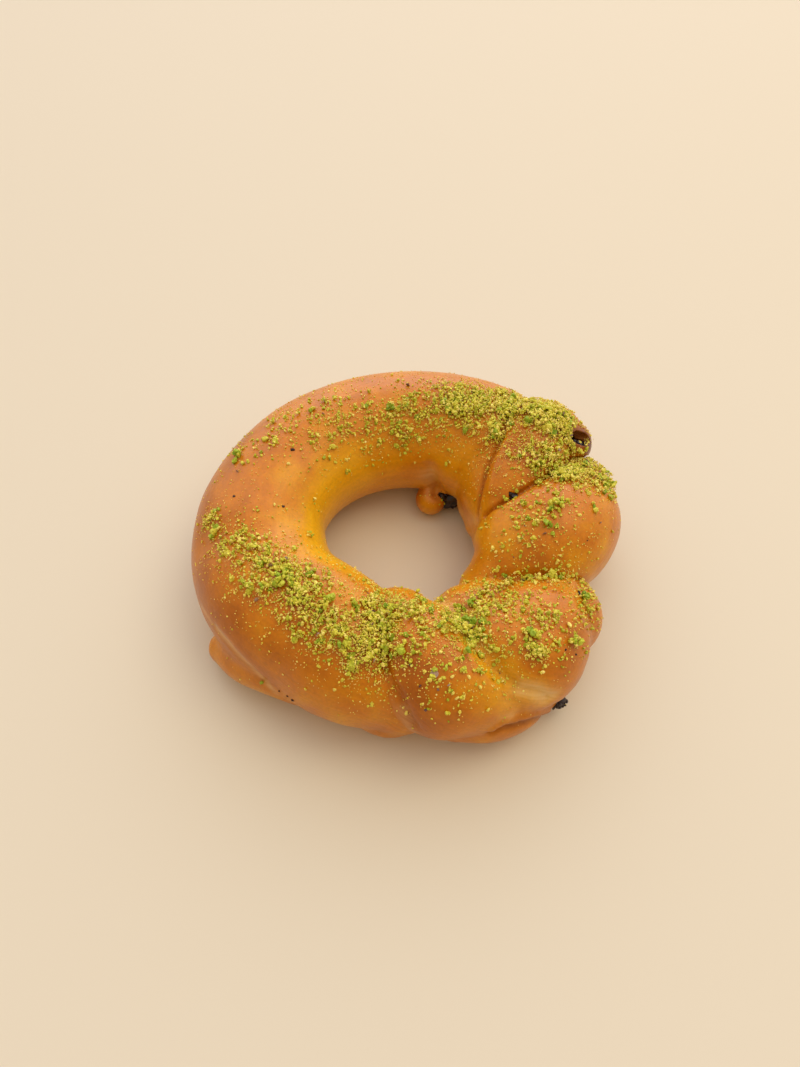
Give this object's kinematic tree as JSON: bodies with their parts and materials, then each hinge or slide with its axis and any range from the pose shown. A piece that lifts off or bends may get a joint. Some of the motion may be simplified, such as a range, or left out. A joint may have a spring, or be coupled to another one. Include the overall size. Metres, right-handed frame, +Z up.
{
  "type": "filled bread ring",
  "caption": "Ring of soft baked dough with a twisted side and a lapped loose end, a dark filling that shows at its openings, and ground pistachio on top. Food to serve and eat.",
  "frame": {"origin": "middle of the ring's outline seen from above, on the surface that it rests on", "axes": "+Z up, +X towards the twisted side, +Y away from the side that faces the viewer"},
  "size_m": [0.138, 0.1305, 0.042],
  "materials": {
    "baked_crust": "egg-washed baked dough, softly glossy, golden brown on top and pale in the folds, with ground green pistachio stuck to it",
    "dark_filling": "dark baked chocolate paste, crumbly and slightly glossy"
  },
  "bodies": {
    "root": {"bread": "baked_crust", "filling": "dark_filling"}
  },
  "joints": []
}
